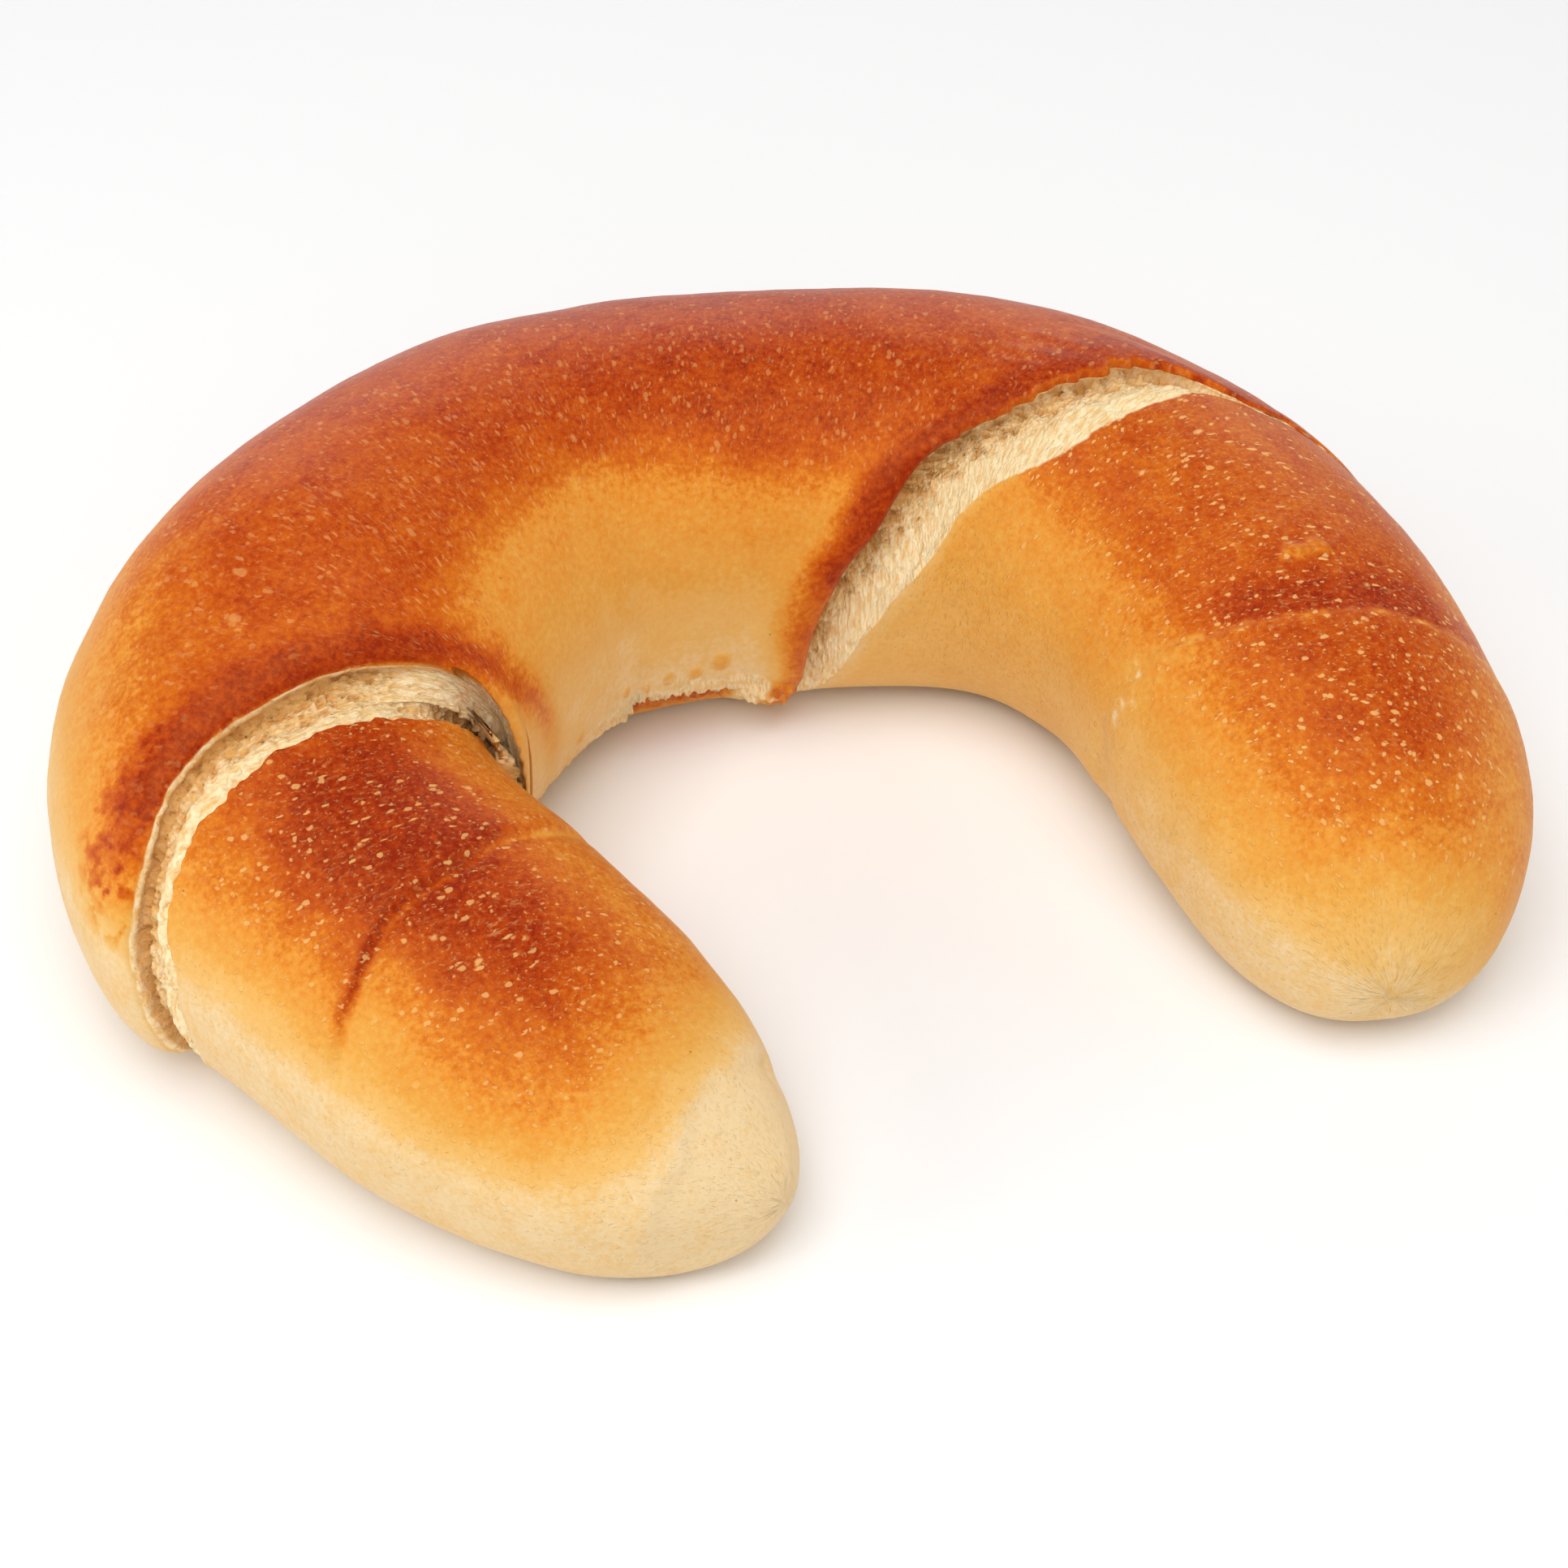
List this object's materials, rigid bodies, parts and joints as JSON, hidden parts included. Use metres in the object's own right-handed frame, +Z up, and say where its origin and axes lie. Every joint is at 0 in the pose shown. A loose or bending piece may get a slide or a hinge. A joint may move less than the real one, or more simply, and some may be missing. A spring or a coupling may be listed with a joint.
{
  "type": "crescent roll",
  "caption": "Baked crescent-shaped bread roll with a plump back, blunt horns and two tears of open crumb, lying on its flat base.",
  "frame": {"origin": "on the surface that the roll lies on, under the middle of its bounding box", "axes": "+Z up; +X across both horns, from the slimmer left horn to the right one; +Y towards the crescent's back, so the horns point to -Y"},
  "size_m": [0.1556, 0.1212, 0.0457],
  "materials": {
    "crust": "satin baked crust, pale on the horns' ends and inner side, with matt open crumb in its two tears"
  },
  "bodies": {
    "root": {"crescent_roll": "crust"}
  },
  "joints": []
}
